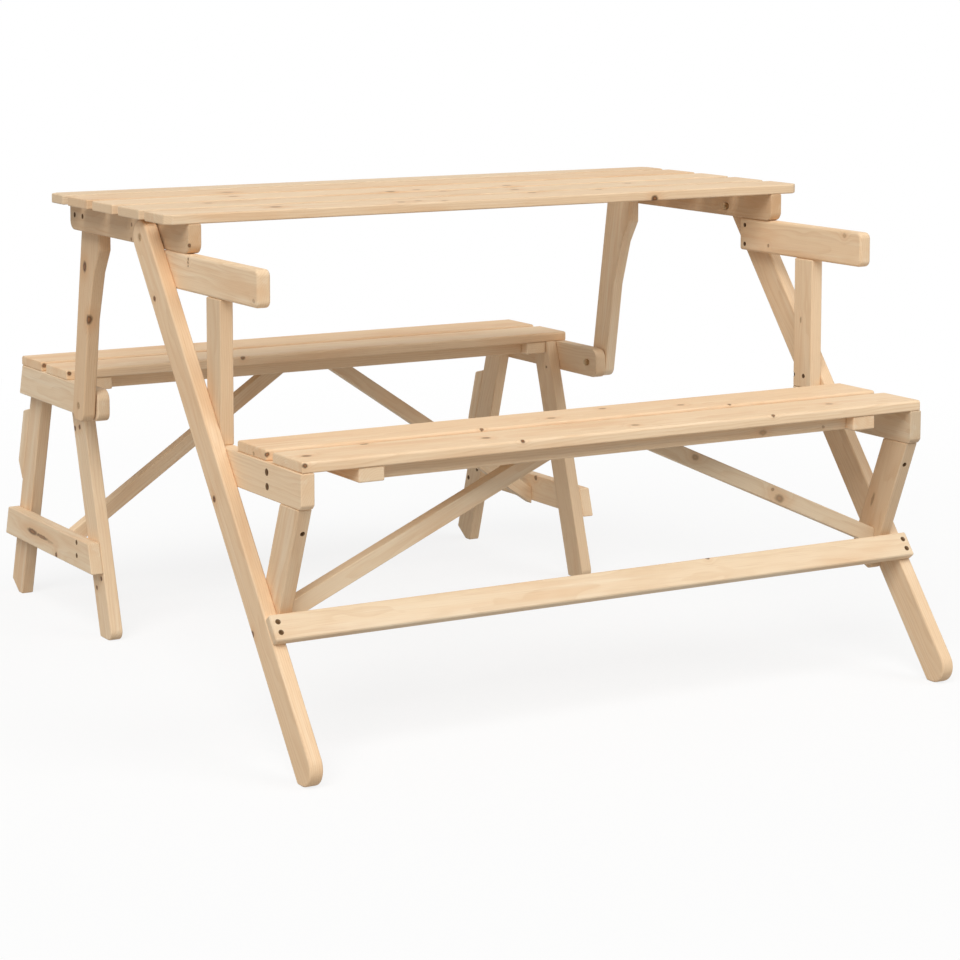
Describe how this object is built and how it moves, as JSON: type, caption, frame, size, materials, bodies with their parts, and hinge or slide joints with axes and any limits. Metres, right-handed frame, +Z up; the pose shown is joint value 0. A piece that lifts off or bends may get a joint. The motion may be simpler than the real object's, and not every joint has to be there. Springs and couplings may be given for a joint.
{
  "type": "convertible picnic table bench",
  "caption": "Slatted softwood picnic table with a bench on each side, whose top folds up into the backrest of one deep bench.",
  "frame": {"origin": "on the floor in the middle of the footprint of the open table", "axes": "+X runs along the seats, +Y from the wide front bench to the rear bench, +Z up"},
  "size_m": [1.13, 1.3346, 0.74],
  "materials": {
    "tabletop_softwood": "bare sanded softwood",
    "seat_softwood": "bare sanded softwood",
    "frame_softwood": "bare planed softwood",
    "zinc_steel": "zinc plated",
    "screw_steel": "dark zinc plated"
  },
  "bodies": {
    "front_bench": {"arm_post_left": "frame_softwood", "arm_post_right": "frame_softwood", "armrest_left": "frame_softwood", "armrest_right": "frame_softwood", "front_batten_left": "frame_softwood", "front_batten_right": "frame_softwood", "front_brace_left": "frame_softwood", "front_brace_right": "frame_softwood", "front_crossbar": "frame_softwood", "front_rail_left": "frame_softwood", "front_rail_right": "frame_softwood", "front_seat_board_front": "seat_softwood", "front_seat_board_rear": "seat_softwood", "front_stringer": "frame_softwood", "front_strut_left": "frame_softwood", "front_strut_right": "frame_softwood", "long_leg_left": "frame_softwood", "long_leg_right": "frame_softwood", "stretcher": "frame_softwood", "stretcher_screws": "screw_steel", "top_pivot_bolts": "zinc_steel", "top_pivot_nuts": "zinc_steel", "top_pivot_washers": "zinc_steel"},
    "tabletop": {"cleat_left": "frame_softwood", "cleat_right": "frame_softwood", "cleat_screws": "screw_steel", "link_left": "frame_softwood", "link_pivot_bolts": "zinc_steel", "link_pivot_nuts": "zinc_steel", "link_pivot_washers": "zinc_steel", "link_right": "frame_softwood", "table_board_1": "tabletop_softwood", "table_board_2": "tabletop_softwood", "table_board_3": "tabletop_softwood", "table_board_4": "tabletop_softwood", "table_board_5": "tabletop_softwood"},
    "rear_bench": {"cross_board_left": "frame_softwood", "cross_board_right": "frame_softwood", "leg_block_left": "frame_softwood", "leg_block_right": "frame_softwood", "rear_batten_left": "frame_softwood", "rear_batten_right": "frame_softwood", "rear_bench_front_leg_left": "frame_softwood", "rear_bench_front_leg_right": "frame_softwood", "rear_bench_rear_leg_left": "frame_softwood", "rear_bench_rear_leg_right": "frame_softwood", "rear_brace_left": "frame_softwood", "rear_brace_right": "frame_softwood", "rear_crossbar": "frame_softwood", "rear_rail_left": "frame_softwood", "rear_rail_right": "frame_softwood", "rear_seat_board_front": "seat_softwood", "rear_seat_board_rear": "seat_softwood", "rear_stringer": "frame_softwood"}
  },
  "joints": [
    {"name": "table_tilt", "type": "hinge", "parent": "front_bench", "child": "tabletop", "pos_m": [0, -0.1209, 0.6969], "axis": [-1, 0, 0], "range_deg": [0, 99]},
    {"name": "rear_bench_swing", "type": "hinge", "parent": "tabletop", "child": "rear_bench", "pos_m": [0, 0.2382, 0.3915], "axis": [1, 0, 0], "range_deg": [0, 99]}
  ],
  "couplings": [
    {"joint": "rear_bench_swing", "follows": "table_tilt", "ratio": 1}
  ]
}
